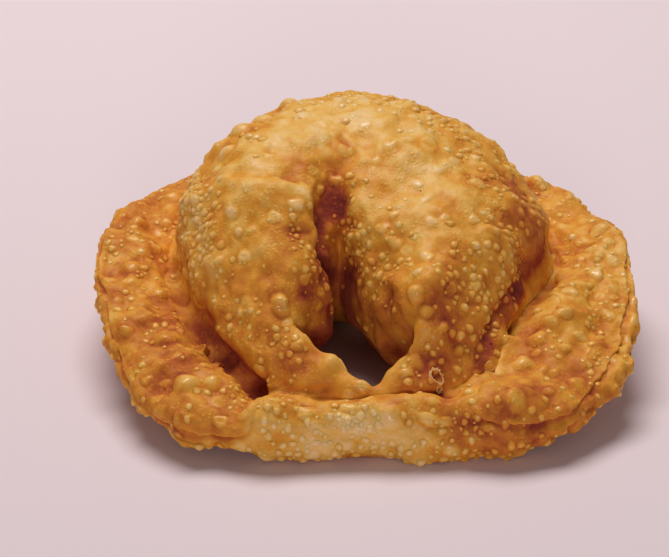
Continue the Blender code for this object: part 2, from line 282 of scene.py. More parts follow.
def onGrid(grid, u, v):
    # Bilinear lookup in a grid that closes both ways, at fractional rows u and columns v.
    down, wide = grid.shape[:2]
    i0, j0 = np.floor(u).astype(int), np.floor(v).astype(int)
    fu, fv = (u - i0)[..., None], (v - j0)[..., None]
    i0, j0, i1, j1 = i0 % down, j0 % wide, (i0 + 1) % down, (j0 + 1) % wide
    here, beyond = (grid[i0, j] * (1 - fu) + grid[i1, j] * fu for j in (j0, j1))
    return here * (1 - fv) + beyond * fv


def onDough(turns, stations):
    # Points and outward directions of the plain dough at any turns and stations, looked up in its grid.
    u = (turns + 180.0) / 360.0 * rows + 0 * stations
    v = np.interp(stations % 1.0, np.append(station[0], 1.0), np.arange(columns + 1)) + 0 * turns
    normal = onGrid(baseNormal, u, v)
    return onGrid(base, u, v), normal / np.linalg.norm(normal, axis=-1)[..., None]


def fromPath(points, corners):
    # Distance in mm to the line drawn on the dough through the corners (turn, station), and the share of the
    # way along it: each point takes the nearest of the line's many close points.
    corners = np.array(corners, float)
    share = np.linspace(0, len(corners) - 1, 12 * (len(corners) - 1) + 1)
    line, _ = onDough(*(np.interp(share, np.arange(len(corners)), corners[:, k]) for k in (0, 1)))
    flat = points.reshape(-1, 3)
    squares = (flat**2).sum(1)[:, None] - 2 * flat @ line.T + (line**2).sum(1)
    near = squares.argmin(axis=1)
    distance = np.sqrt(np.maximum(squares[np.arange(len(flat)), near], 0))
    shape = points.shape[:-1]
    return distance.reshape(shape), (share[near] / share[-1]).reshape(shape)


relief = {
    "waves": ((0.36, 14.0, 11), (0.24, 7.0, 10), (0.12, 3.6, 12), (0.035, 1.9, 13)),  # height, size, seed
    "ragged": 0.12,  # roughness of the brim's edge
    # grooves and, below zero, ridges along lines: (turn, station) corners, depth, half width and browning,
    # which along the grooves is partly painted shade in the crease
    "grooves": (
        (((163, 0.486), (157, 0.503), (146, 0.522), (130, 0.540), (120, 0.562), (126, 0.594), (155, 0.632)),
         2.5, 2.6, 0.36),
        (((100, 0.158), (81, 0.170), (68, 0.176), (56, 0.186), (46, 0.200), (38, 0.205), (30, 0.195),
          (24, 0.165)), 1.3, 3.2, 0.15),
        (((-74, 0.180), (-64, 0.190), (-56, 0.205), (-48, 0.222), (-41, 0.226), (-35, 0.205), (-29, 0.165)),
         -2.0, 3.2, 0.03),
        (((-96, 0.168), (-86, 0.172), (-77, 0.174), (-70, 0.170), (-63, 0.158), (-55, 0.147), (-47, 0.145),
          (-40, 0.145)), -1.7, 2.8, 0.00),
        (((62, 0.172), (52, 0.186), (44, 0.196), (36, 0.200), (30, 0.190), (25, 0.165)), 1.6, 1.8, 0.12),
        (((-92, 0.224), (-81, 0.216), (-68, 0.222), (-57, 0.240), (-47, 0.268), (-40, 0.278), (-34, 0.262),
          (-29, 0.215)), 0.7, 1.3, 0.32),
        (((97, 0.372), (99, 0.398), (104, 0.428), (111, 0.450), (119, 0.472), (127, 0.492)),
         -0.5, 1.8, -0.11),
        (((22, 0.080), (20.5, 0.130), (19.5, 0.190), (16, 0.245), (12, 0.285), (8, 0.308)), 0.5, 0.9, 0.12),
        (((-6, 0.314), (-9.5, 0.300), (-13, 0.270), (-16, 0.222), (-18, 0.160), (-20, 0.105)),
         0.8, 0.9, 0.24),
        (((86, 0.464), (93, 0.490), (108, 0.520)), 0.5, 1.2, 0.16),
        (((170, 0.424), (176.5, 0.442), (184, 0.460)), 0.35, 0.6, 0.14),
    ),
    # broad rises and hollows: turn, station, height, radius
    "rises": (
        (116, 0.486, 1.1, 3.6), (128, 0.486, 0.8, 3.0), (100, 0.462, 0.7, 3.2), (132, 0.452, -0.5, 3.0),
        (60, 0.47, 0.5, 6.0), (-60, 0.47, 0.6, 6.0), (-100, 0.4, 0.6, 6.0), (-98, 0.3, -0.9, 5.0),
        (-88, 0.255, 1.0, 4.0), (150, 0.42, 0.5, 5.0), (-38, 0.48, 0.6, 3.5), (50, 0.44, 0.4, 5.0),
        (95, 0.402, 0.9, 4.0), (106, 0.44, 0.8, 3.6), (122, 0.446, -0.7, 2.6), (113, 0.384, 0.8, 2.8),
        (138, 0.452, 0.5, 2.4), (80, 0.326, 0.8, 3.0), (106, 0.348, 0.6, 2.2), (118, 0.35, 0.6, 2.2),
        (86, 0.414, -0.4, 2.4), (173, 0.432, 0.5, 3.0), (153, 0.408, 0.6, 2.4), (92, 0.35, -0.5, 2.4),
        (80, 0.64, 1.0, 4.0), (92, 0.64, 1.4, 4.0), (104, 0.645, 1.2, 4.0), (90, 0.68, 1.0, 4.0),
        (-61, 0.226, 1.0, 1.8), (80, 0.345, -0.4, 3.0), (88, 0.478, -0.4, 3.2), (16, 0.61, 0.9, 3.0),
        (-22, 0.61, 0.9, 3.0),
    ),
}


def cells(points, spots):
    # The distance to the line between the two nearest spots, and which spot is nearest.
    flat = points.reshape(-1, 3)
    gap, which = np.empty(len(flat)), np.empty(len(flat), int)
    atOnce = 20000  # points, so that the table of distances stays small
    for start in range(0, len(flat), atOnce):
        block = slice(start, start + atOnce)
        some = flat[block]
        squares = np.maximum((some**2).sum(1)[:, None] - 2 * some @ spots.T + (spots**2).sum(1), 0)
        pair = np.argpartition(squares, 1, axis=1)[:, :2]
        two = np.sqrt(np.take_along_axis(squares, pair, 1))
        gap[block] = np.abs(two[:, 0] - two[:, 1]) / 2
        which[block] = np.where(two[:, 0] < two[:, 1], pair[:, 0], pair[:, 1])
    return gap.reshape(points.shape[:-1]), which.reshape(points.shape[:-1])


def broadRelief(points):
    # Height and extra browning, partly painted shade: noise on four scales, then the grooves, each a bell
    # across its line that fades at the ends and darkens the colour along it, partly as painted shade in the
    # crease, and the rises, each a bell round its middle.
    height = sum(amount * waves(points, size, seed) for amount, size, seed in relief["waves"])
    brown = np.zeros(points.shape[:2])
    for corners, depth, width, darker in relief["grooves"]:
        distance, share = fromPath(points, corners)
        ends = ease(share, -0.05, 0.40) * (1 - 0.75 * ease(share, 0.90, 1.0))
        wobble = width * (1 + 0.12 * waves(points, 6.0, 17))
        height = height - depth * ends * bell(distance, wobble)
        # painted shade along the groove's crease, partly browning
        brown = brown + darker * ends * bell(distance, 1.3 * wobble)
    for at, where, amount, radius in relief["rises"]:
        middle, _ = onDough(np.array([float(at)]), np.array([where]))
        height = height + amount * bell(np.linalg.norm(points - middle[0], axis=-1), radius)
    return height, brown


beadProfile = ((1.30, -0.16), (1.06, 0.12), (0.86, 0.50), (0.50, 0.88))  # radius and height of each ring

blisters = {
    "named": (  # turn, station, radius, height over radius, and the top's flatness and dip where it has them
        (155, 0.316, 2.6, 0.5), (141, 0.332, 2.6, 0.55), (129, 0.33, 2.5, 0.55), (117, 0.326, 2.2, 0.45),
        (174, 0.358, 1.7, 0.45), (-175, 0.362, 1.7, 0.45), (156, 0.38, 1.8, 0.3),
        (-144, 0.41, 1.35, 0.28, 1, 0.3), (-150, 0.432, 1.35, 0.28, 1, 0.3),
        (-134, 0.394, 2.3, 0.16, 1, 0.1), (-120, 0.376, 1.35, 0.28, 1, 0.3),
        (-104, 0.364, 2.0, 0.28, 0.5), (180, 0.46, 1.7, 0.16, 1), (46, 0.498, 2.0, 0.55),
        (49, 0.488, 1.6, 0.5), (26, 0.464, 1.45, 0.55), (77, 0.3, 1.1, 0.5, 0.5),
        (65.5, 0.324, 1.1, 0.5, 0.5), (-54.5, 0.518, 1.9, 0.45), (-43, 0.492, 1.6, 0.45),
        (-23, 0.444, 1.8, 0.3), (-48.5, 0.412, 1.3, 0.32, 1, 0.5), (-47.5, 0.316, 1.1, 0.5),
        (-76, 0.344, 1.1, 0.5), (-64.5, 0.314, 1.1, 0.5), (-29, 0.196, 1.3, 0.35),
        (13.5, 0.064, 2.0, 0.22, 0.6, 0.1), (4.5, 0.082, 1.6, 0.22, 0.6, 0.2),
        (-4.5, 0.036, 2.4, 0.12, 0.3), (-12, 0.036, 1.7, 0.28, 1, 0.1), (-15.5, 0.03, 1.4, 0.35, 1, 0.3),
        (4.5, 0.992, 1.6, 0.3), (21, 0.97, 1.7, 0.35), (-40.5, 0.984, 1.9, 0.4),
        (25, 0.992, 1.7, 0.4, 0.5, 0.3), (-30, 0.975, 1.6, 0.3), (36, 0.978, 1.8, 0.3),
        (155.5, 0.498, 1.3, 0.5), (123, 0.287, 1.4, 0.4), (117, 0.282, 1.2, 0.4),
        (-164, 0.352, 1.3, 0.45), (-156, 0.34, 1.1, 0.45), (-147, 0.332, 1.0, 0.45),
        (-135, 0.324, 1.2, 0.4), (-125, 0.274, 1.4, 0.35), (-117, 0.276, 1.3, 0.4),
        (-106, 0.27, 1.5, 0.35), (-170, 0.418, 1.3, 0.25, 1, 0.3), (-114, 0.508, 1.5, 0.3, 0.5),
        (-77.5, 0.35, 1.6, 0.35, 0.5, 0.2), (-88.5, 0.302, 1.2, 0.4), (-19, 0.442, 1.4, 0.4),
        (-36.5, 0.416, 1.2, 0.4), (-31.5, 0.334, 1.2, 0.35), (46.5, 0.34, 1.0, 0.4),
        (-24, 0.38, 1.0, 0.4),
    ),
    "namedOnSheet": (
        (39.5, 0.064, 2.75, 0.5), (55.5, 0.09, 2.6, 0.16, 0.4, 0.2), (65.5, 0.072, 2.8, 0.16, 0.2),
        (61.5, 0.044, 1.4, 0.4), (35.5, 0.09, 1.7, 0.5), (29, 0.028, 1.4, 0.35, 1, 0.4),
        (47, 0.034, 1.2, 0.5), (-79.5, 0.158, 1.9, 0.4), (-80, 0.076, 2.0, 0.35, 0.5),
        (-69, 0.096, 1.6, 0.35, 0.5), (-66.5, 0.05, 1.8, 0.4), (-60, 0.094, 1.8, 0.3, 0.5),
        (-50, 0.108, 2.0, 0.3, 0.5), (-41, 0.108, 2.2, 0.35), (-29.5, 0.046, 2.2, 0.24, 0.6),
        (-44.5, 0.042, 2.0, 0.38), (-45, 0.14, 1.4, 0.45), (-130, 0.06, 3.1, 0.4),
        (-120.5, 0.034, 1.8, 0.5), (-139, 0.05, 1.9, 0.45), (-98, 0.06, 2.1, 0.3, 0.5),
        (85, 0.08, 2.2, 0.3), (104, 0.07, 2.4, 0.3), (122, 0.09, 2.2, 0.35),
    ),
    # ring bubbles: how many, radii, height over radius, its spread, flatness, depth and share of the dipped
    "low": (170, 0.7, 1.6, 0.24, (0.4, 1.4), (0.3, 1.0), (0.35, 0.3)),
    "onSheet": (80, 0.6, 1.7, 0.20, (0.5, 1.5), (0.0, 0.6), (0.40, 0.18)),
    # domes of their own: how many, radii, height over radius, sides, profile
    "drops": (450, 0.50, 1.05, 0.54, 10, ((1.35, -0.14), (1.08, 0.08), (0.90, 0.40), (0.54, 0.84))),
    "beads": (1000, 0.40, 0.90, 0.43, 8, beadProfile),
    "brimBeads": (240, 0.36, 0.95, 0.42, 8, beadProfile),
    # their stretch and lobes, the spread of their heights, and how their browning differs from the dough's
    "stretch": 0.17, "lobed": 0.08, "heights": (0.65, 1.2), "palerTops": 0.20, "tones": (-0.02, 0.04),
    "plainDrops": 0.02, "plainBeads": 0.008,  # weight outside the crowds
    # crowds of drops and of beads: turn, station, both widths, weight
    "dropCrowds": (
        (0, 0.962, 36, 0.012, 14.0), (60, 0.968, 40, 0.016, 4.0), (-60, 0.968, 40, 0.016, 5.0),
        (-150, 0.352, 34, 0.03, 2.2), (150, 0.35, 30, 0.03, 2.0), (-105, 0.32, 20, 0.05, 2.4),
        (-60, 0.34, 20, 0.05, 2.5), (84, 0.29, 20, 0.04, 2.5), (-170, 0.44, 40, 0.05, 0.3),
        (112, 0.57, 20, 0.02, 1.5), (0, 0.055, 26, 0.05, 1.1), (-38, 0.4, 14, 0.06, 3.0),
        (-30, 0.31, 9, 0.05, 3.0), (-46, 0.26, 12, 0.03, 3.5), (-22, 0.41, 9, 0.06, 4.0),
        (-60, 0.48, 20, 0.03, 1.5), (-48, 0.985, 22, 0.014, 9.0), (48, 0.985, 22, 0.014, 9.0),
        (100, 0.988, 40, 0.014, 4.0), (-100, 0.988, 40, 0.014, 4.0), (-150, 0.34, 26, 0.012, 6.0),
        (-120, 0.008, 24, 0.014, 7.0), (105, 0.006, 24, 0.014, 3.0),
    ),
    "crowds": (
        (-80, 0.305, 12, 0.035, 4.0), (-54, 0.345, 14, 0.05, 6.0), (-62, 0.27, 14, 0.03, 4.0),
        (-165, 0.56, 22, 0.03, 7.0), (-120, 0.55, 34, 0.045, 4.0), (112, 0.565, 24, 0.03, 8.0),
        (80, 0.535, 16, 0.035, 6.0), (88, 0.28, 16, 0.04, 8.0), (66, 0.27, 14, 0.04, 7.0),
        (96, 0.485, 12, 0.02, 4.0), (50, 0.4, 14, 0.04, 2.5), (30, 0.42, 10, 0.05, 2.5),
        (0, 0.966, 38, 0.018, 9.0), (0, 0.055, 26, 0.05, 3.4), (20, 0.25, 8, 0.05, 2.0),
        (150, 0.34, 40, 0.03, 0.9), (-140, 0.345, 40, 0.03, 0.8), (180, 0.22, 70, 0.06, 1.2),
        (-40, 0.3, 12, 0.04, 2.0), (-30, 0.2, 10, 0.05, 1.5), (-25, 0.4, 10, 0.06, 3.0),
        (70, 0.97, 50, 0.03, 3.0), (-70, 0.97, 50, 0.03, 3.0), (180, 0.96, 60, 0.04, 2.0),
    ),
}


def spotsBy(how, weight, points, taken):
    # Spots drawn by weight on a grid's points, largest first, each kept if it lies clear of the others.
    count, small, large = blisters[how][:3]
    radius = np.sort(small + (large - small) * draw.random(count * 3) ** 2.2)[::-1]
    spots = draw.choice(weight.size, size=count * 3, p=(weight / weight.sum()).ravel())
    places = points.reshape(-1, 3)[spots]
    filled = len(taken[1])
    allPlaces = np.concatenate([taken[0].reshape(-1, 3), np.zeros((count, 3))])
    allRadii = np.concatenate([taken[1], np.zeros(count)])
    kept = []
    for k in range(len(spots)):
        gap = np.linalg.norm(allPlaces[:filled] - places[k], axis=1) - 0.95 * (allRadii[:filled] + radius[k])
        if filled == 0 or gap.min() > 0:
            allPlaces[filled], allRadii[filled] = places[k], radius[k]
            filled += 1
            kept.append(k)
            if len(kept) == count:
                break
    return spots[kept], radius[kept]


def raiseBlisters(skin, places, table):
    # Caps round the places: (1 - share^p)^q of the radius high, p and q by flatness, less a bell in the
    # middle and a fine one round the foot, the outline a little lobed. Notes tops in puff and feet in moat.
    flat, normal = skin["base"].reshape(-1, 3), skin["normal"].reshape(-1, 3)
    height, puff, moat = (skin[key].ravel() for key in ("height", "puff", "moat"))
    for place, (radius, ratio, flatness, dip) in zip(places, table):
        away = flat - place
        near = np.flatnonzero(np.abs(away).max(axis=1) < 1.5 * radius)
        middle = near[np.linalg.norm(away[near], axis=1).argmin()]
        near = near[normal[near] @ normal[middle] > 0.2]
        across = np.cross(normal[middle], (0.3, 0.2, 1.0))
        across /= np.linalg.norm(across)
        angle = np.arctan2(away[near] @ np.cross(normal[middle], across), away[near] @ across)
        lobes = 1 + 0.10 * np.sin(2 * angle + 5 * radius) + 0.06 * np.sin(3 * angle + 9 * ratio + place[0])
        share = np.linalg.norm(away[near], axis=1) / (radius * lobes)
        cap = np.clip(1 - share ** (2.2 + 2.5 * flatness), 0, 1) ** (1.2 - 0.35 * flatness)
        level = cap * ratio * radius - dip * ratio * radius * bell(share, 0.5)
        level = level - 0.03 * radius * bell(share - 1.1, 0.18)
        height[near] += level
        puff[near] = np.maximum(puff[near], cap * (0.55 + 0.45 * min(1.0, ratio / 0.4)))
        moat[near] = np.maximum(moat[near], bell(share - 1.06, 0.20) * 0.6)
    for key, values in zip(("height", "puff", "moat"), (height, puff, moat)):
        skin[key] = values.reshape(skin["base"].shape[:2])


def spread(turn, station, table):
    # The sum of the table's bells: middle in turns and stations, both widths, amount.
    return sum(
        amount * bell(turnBetween(turn, middle), turnWidth)
        * bell((station - place + 0.5) % 1.0 - 0.5, stationWidth)
        for middle, place, turnWidth, stationWidth, amount in table
    )


def cellArea(points):
    # The area of each grid cell, and 0 where a cell is pressed flat or leans far over.
    along, up = np.roll(points, -1, 0) - points, np.roll(points, -1, 1) - points
    area = np.linalg.norm(np.cross(along, up), axis=-1)
    sides = np.linalg.norm(along, axis=-1), np.linalg.norm(up, axis=-1)
    sound = (area > 0.35 * sides[0] * sides[1]) & (np.minimum(*sides) > 0.04)
    return area * sound


def blister(skin, how, key, likely):
    # Ring bubbles drawn by weight, then the named ones, each at its turn and station. Gives back all places
    # and radii.
    table = np.array([(*row, 0, 0)[:6] for row in blisters[key]], float)
    namedPlaces, named = onDough(table[:, 0], table[:, 1])[0], table[:, 2:]
    spots, radii = spotsBy(how, likely, skin["base"], (namedPlaces, named[:, 0]))
    places, count = skin["base"].reshape(-1, 3)[spots], len(spots)
    ratio, ratios, flatness, (dip, dipped) = blisters[how][3:]
    drawn = [radii, ratio * draw.uniform(*ratios, count), draw.uniform(*flatness, count)]
    drawn.append(dip * (draw.random(count) < dipped))
    raiseBlisters(skin, places, np.stack(drawn, -1))
    raiseBlisters(skin, namedPlaces, named)
    return np.concatenate([namedPlaces, places]), np.concatenate([named[:, 0], radii])


def finish(skin):
    # Moves the dough out by its height, softly kept inside the CAD box, then measures its hollows: how far
    # each point lies below the mean of its neighbours two and five steps away.
    moved = skin["base"] + skin["normal"] * skin["height"][..., None]
    room, soft = 0.4, 0.8  # left between the dough and the box for the beads, and how gently it is kept
    for axis in (0, 1, 2):
        moved[..., axis] = -smoothMax(-moved[..., axis], room - high[axis], soft)
        if axis < 2:
            moved[..., axis] = smoothMax(moved[..., axis], low[axis] + room, soft)
    skin["points"] = np.clip(moved, low, high)
    skin["out"] = normalsOf(skin["points"])
    hollow = 0.0
    for step in (2, 5):
        around = sum(np.roll(skin["points"], shift, axis) for shift in (step, -step) for axis in (0, 1)) / 4
        hollow = hollow + ((around - skin["points"]) * skin["out"]).sum(axis=-1) / 2
    skin["hollow"] = hollow


print("empanada: raising the relief of the crust")
fromEdge = (station + 0.5) % 1.0 - 0.5  # station counted from the brim's edge, negative underneath
onTop = (1 - ease(station, 0.67, 0.75)) + ease(station, 0.93, 0.97) + 0 * turn  # 0 under the belly
crust = {"base": base, "normal": baseNormal, "puff": np.zeros(onTop.shape), "moat": np.zeros(onTop.shape)}
crust["height"], crust["brown"] = broadRelief(base)


# The brim is two sheets of dough, and the upper one ends in a ragged border at the edge and at the crease.

sheet = {
    "turns": 900, "topRows": 96, "underRows": 12,
    "inner": ((21, 0.100), (27, 0.118), (34, 0.146), (44, 0.160), (52, 0.140), (63, 0.132), (72, 0.138),
              (85, 0.150), (110, 0.150), (180, 0.150), (250, 0.150), (275, 0.140), (292, 0.110),
              (298, 0.104), (307, 0.122), (315, 0.150), (323, 0.146), (330, 0.130), (337, 0.094)),
    "outer": ((21, 0.022), (24, 0.010), (28, 0.002), (40, 0.000), (46, 0.008), (54, 0.016), (65, 0.026),
              (90, 0.024), (180, 0.020), (270, 0.028), (296, 0.030), (309, 0.030), (315, 0.026),
              (320, 0.018), (328, 0.012), (335, 0.018), (338, 0.032), (340, 0.050)),
    "thickness": 0.85, "lips": ((48, 0.7, 12), (-48, 0.7, 20), (-100, 0.2, 20)),  # thicker inner border
    "ragged": ((0.0036, 7.0), (0.0011, 1.7)),
    "flakes": (0.0120, 2.8, 1.1, 46, 18),  # reach, size, height, turn and width of the torn stretch
    "buried": 1.6, "ends": (22.5, 341.0, 3.0),  # where it dives into the bar, and over how many degrees
    "crisp": ((46, 1.0, 11), (-45, 0.8, 20)),  # where its inner border stands free; elsewhere it thins out
    "underside": 0.6,  # how deep its underside lies in the dough
    "plates": (200, 0.15, 0.03, 0.06),  # how many, their height, the seams' depth and their browning
    "wrinkle": (0.07, 4.2), "fold": (0.24, 5.0),  # height and size
    "grooveDarkShare": 0.4,  # share of the grooves' browning and painted shade that it takes
    # on the crust: how much lower it lies under the sheet, the height, shift and width of its ledge below the
    # outer border, and the darkening, shift and width of the seam, painted shade where the sheet's border
    # meets the crust
    "covered": 0.3, "ledge": (0.25, 0.016, 0.014), "seamShade": (0.20, 0.001, 0.005),
}


def upperSheet():
    # A closed band round the brim: across the top from the outer to the inner border, and back underneath.
    # Its top lies a thickness above the dough, rounded off at both borders; its underside lies inside. Noise
    # makes the borders ragged.
    s = sheet
    turns = (360.0 * np.arange(s["turns"]) / s["turns"])[:, None]
    top = np.linspace(0, 1, s["topRows"])
    across = np.concatenate([top, np.linspace(1, 0, s["underRows"] + 2)[1:-1]])[None, :]
    under = (np.arange(across.size) >= s["topRows"])[None, :]
    inner, outer = (
        np.interp(turns, *np.array(((-1, table[0][1]), *table, (361, table[-1][1]))).T)
        for table in (s["inner"], s["outer"])
    )
    rim, _ = onDough(turns, inner)
    inner = inner + sum(amount * waves(rim, size, 21) for amount, size in s["ragged"])
    amount, size, lift, at, stretch = s["flakes"]
    flakes = np.clip(waves(rim, size, 23), -0.2, 1.5) * bell(turnBetween(turns, at), stretch)
    inner = inner + amount * flakes
    rim, _ = onDough(turns, outer)
    outer = outer + sum(0.45 * amount * waves(rim, size, 22) for amount, size in s["ragged"])
    stations = outer + (inner - outer) * across
    points, normal = onDough(turns, stations)
    width = np.linalg.norm(points[:, s["topRows"] - 1] - points[:, 0], axis=-1)[:, None]
    fromBorder = np.minimum(across, 1 - across) * width
    crisp = np.clip(bumps(turns, s["crisp"]), 0, 1)
    lip = bumps(turns, s["lips"]) * bell((1 - across) * width, 4.0)
    lip = lip + lift * np.clip(flakes, 0, 1) * bell((1 - across) * width, 1.6)
    thick = s["thickness"] * (1 + 0.2 * waves(points, 6.0, 24))
    thick = thick * (1 - 0.4 * bell(across * width, 3.0)) + lip
    outerCorner = np.minimum(across * width / (0.55 * thick), 1.0)
    innerCorner = np.minimum((1 - across) * width / (0.55 * thick + 4.0 * (1 - crisp)), 1.0)
    rounded = np.sqrt(np.clip((1 - (1 - outerCorner) ** 2) * (1 - (1 - innerCorner) ** 2), 0, 1))
    level = thick * rounded - 0.5 * (1 - rounded)
    start, end, fade = s["ends"]
    there = ease(turns, start - fade / 2, start + fade / 2) * (1 - ease(turns, end - fade, end))
    level = np.where(under, -s["underside"], level) * there - s["buried"] * (1 - there)
    skin = {"base": points, "normal": normal, "turn": turns, "station": stations, "level": level}
    skin["there"] = there
    skin["topside"] = (1 - under) * there * ease(fromBorder, 0.0, 2.2)
    skin["puff"], skin["moat"], skin["height"] = (np.zeros(points.shape[:2]) for _ in range(3))
    return skin


def crinkle(skin, likely):
    # Fine relief and browning: small wrinkles along a noise's zero lines, long folds from noise stretched
    # round the brim, and plates between warped cells with a soft seam along each border.
    points = skin["base"]
    count, hump, seam, darker = sheet["plates"]
    spots = points.reshape(-1, 3)[draw.choice(likely.size, size=count, p=(likely / likely.sum()).ravel())]
    warp = np.stack([waves(points, 4.0, seed) for seed in (25, 29, 33)], -1)
    gap, which = cells(points + 0.55 * warp, spots)
    tall = (draw.uniform(0.2, 1.0, count) ** 1.5)[which]
    wrinkled = 0.35 + 0.65 * ease(waves(points, 12.0, 26), -0.7, 0.6)
    amount, size = sheet["wrinkle"]
    fine = amount * (0.45 - np.sqrt(waves(points, size, 27) ** 2 + 0.02))
    amount, size = sheet["fold"]
    x, y, z = np.moveaxis(points, -1, 0)
    ringwise = np.stack([np.hypot(x, y), np.radians(skin["turn"]) * 50 * 0.35 + 0 * x, z], -1)
    fine = fine + amount * waves(ringwise, size, 28)
    plate = 1 - bell(gap, 0.75)
    fine = fine + wrinkled * (hump * tall * plate - seam * bell(gap, 0.35))
    return fine, wrinkled * (darker * bell(gap, 0.40) - darker * tall * plate)


print("empanada: laying the upper sheet of the brim")
brim = upperSheet()
broad, brim["brown"] = broadRelief(brim["base"])
likelyOnBrim = cellArea(brim["base"]) * brim["topside"]
fine, brown = crinkle(brim, likelyOnBrim)
brim["brown"] = brim["brown"] * sheet["grooveDarkShare"] + brown
places, radii = blister(brim, "onSheet", "namedOnSheet", likelyOnBrim)
brim["height"] = (brim["height"] + fine) * brim["topside"] + broad + brim["level"]
takenOnBrim = (places, 0.8 * radii)

# the crust lies lower where the sheet covers it, and is thicker below the sheet's border at the sides
outer, inner = (np.interp(turn % 360.0, *np.array(sheet[key]).T) for key in ("outer", "inner"))
there = np.interp(turn % 360.0, brim["turn"][:, 0], brim["there"][:, 0], period=360.0)
covered = there * ease(fromEdge, outer + 0.004, outer + 0.016)
covered = covered * (1 - ease(fromEdge, inner - 0.016, inner - 0.004))
ledgeHeight, ledgeShift, ledgeWidth = sheet["ledge"]
ledge = ledgeHeight * bell(fromEdge - outer + ledgeShift, ledgeWidth) * there
crust["height"] -= sheet["covered"] * covered
crust["height"] += relief["ragged"] * bell(fromEdge, 0.03) * waves(base, 3.2, 14)
crust["height"] += ledge
crust["height"] += ledge * waves(base, 2.4, 16)
# painted shade: the crust darker in a thin band where the sheet's outer border meets it
darker, shift, width = sheet["seamShade"]
crust["brown"] += darker * there * bell(fromEdge - outer + shift, width)

likely = cellArea(base) * (onTop > 0.5) * (1 - covered)
patches = 0.12 + 1.6 * ease(waves(base, 8.0, 31), -0.3, 1.1)  # blisters come in patches
places, radii = blister(crust, "low", "named", likely * (0.4 + patches))
crust["height"] *= onTop
taken = (places, 0.6 * radii)
finish(crust)
finish(brim)


browningAndShade = {
    "dome": 0.40, "brim": 0.46, "belly": 0.60, "sheet": 0.49,
    "spots": (  # turn, station, both widths, darker or paler; partly regional browning, partly painted shade in the hole, in the creases and on the lower legs
        (180, 0.6, 60, 0.045, 0.22), (0, 0.67, 300, 0.045, 0.4), (-130, 0.59, 34, 0.04, 0.1),
        (110, 0.58, 40, 0.04, 0.24), (78, 0.545, 22, 0.03, 0.31), (-80, 0.57, 26, 0.035, 0.18),
        (-92, 0.285, 20, 0.05, 0.3), (-50, 0.235, 26, 0.035, 0.16), (50, 0.215, 26, 0.03, 0.24),
        (2, 0.02, 14, 0.06, -0.38), (20, 0.99, 12, 0.04, -0.05), (127, 0.446, 9, 0.02, 0.2),
        (90, 0.474, 12, 0.026, 0.14), (80, 0.345, 7, 0.024, 0.1), (112, 0.398, 6, 0.016, -0.1),
        (66, 0.29, 14, 0.04, -0.1), (168, 0.4, 50, 0.06, -0.25), (115, 0.39, 20, 0.045, -0.06),
        (-130, 0.42, 24, 0.04, -0.04), (-120, 0.44, 22, 0.04, -0.14), (116, 0.482, 10, 0.016, -0.1),
        (-20, 0.03, 8, 0.06, 0.12), (-84, 0.064, 22, 0.05, -0.15), (-120, 0.064, 16, 0.05, -0.05),
        (88, 0.07, 18, 0.05, -0.06), (60, 0.1, 14, 0.03, 0.12), (40, 0.48, 12, 0.03, 0.08),
        (-28, 0.38, 14, 0.09, 0.26), (22, 0.4, 9, 0.09, 0.2), (-52, 0.43, 14, 0.05, 0.12),
        (-36, -0.005, 14, 0.03, 0.16), (36, -0.01, 12, 0.03, 0.1), (180, 0.49, 24, 0.03, 0.1),
        (138, 0.452, 7, 0.018, 0.12), (173, 0.432, 6, 0.02, 0.12), (122, 0.446, 6, 0.014, 0.1),
        (166, 0.512, 10, 0.024, 0.36), (-178, 0.535, 14, 0.024, 0.44), (150, 0.57, 26, 0.03, 0.14),
        (-165, 0.63, 24, 0.022, 0.3), (-95, 0.625, 40, 0.03, 0.12), (-84, 0.225, 12, 0.024, 0.26),
        (58, 0.165, 26, 0.024, 0.06), (50, 0.05, 12, 0.04, 0.15), (104, 0.07, 16, 0.05, 0.07),
        (40, 0.36, 24, 0.1, 0.1), (-58, 0.475, 14, 0.05, 0.02), (-42, 0.4, 24, 0.1, 0.07),
        (90, 0.63, 26, 0.034, 0.26), (34, 0.985, 10, 0.03, -0.08), (-34, 0.04, 14, 0.05, 0.13),
        (-25, 0.4, 12, 0.06, 0.11), (92, 0.292, 14, 0.04, -0.06), (-66, 0.15, 18, 0.026, 0.06),
        (-13, 0.06, 6, 0.06, 0.06), (-21, 0.318, 2.2, 0.012, 0.25), (95, 0.4, 10, 0.02, -0.06),
    ),
    # the darkening of the hollows is partly browning and partly painted shade
    "patchy": (0.055, 8.0), "mottled": (0.035, 3.0), "hollows": 0.24,
    "most": (0.64, 0.08), "mostBelow": (0.82, 0.12),
}


def toastedAndShaded(skin, turn, station, plain):
    # How brown each point is, 0 to 1, with painted shade in it: by region, then in patches, and darker
    # wherever the surface is hollow, partly browning and partly painted shade.
    level = plain + skin["brown"] + spread(turn, station, browningAndShade["spots"])
    for amount, size in (browningAndShade["patchy"], browningAndShade["mottled"]):
        level = level + amount * waves(skin["base"], size, int(size * 10))
    # painted shade, partly browning: darker in the hollows of the surface
    level = level + browningAndShade["hollows"] * np.clip(skin["hollow"], -0.30, 0.6)
    return np.clip(level, 0.0, 1.1)


def atMost(level, most, width):
    # The level with all above most pressed together, so that it never gets much above most + width.
    return np.where(level > most, most + width * np.tanh((level - most) / width), level)


def closedGrid(rows, columns):
    # The faces of a grid that closes both ways.
    i, j = np.meshgrid(np.arange(rows), np.arange(columns), indexing="ij")
    nextI, nextJ = (i + 1) % rows, (j + 1) % columns
    corners = (i * columns + j, i * columns + nextJ, nextI * columns + nextJ, nextI * columns + j)
    return np.stack([corner.ravel() for corner in corners], -1).tolist()


def skinObject(name, skin):
    # A closed skin as an object, with its browning and painted shade, tops and feet as attributes.
    values = {key: skin[key].ravel() for key in ("toast", "puff", "moat")}
    return meshObject(name, skin["points"].reshape(-1, 3), closedGrid(*skin["points"].shape[:2]), values)


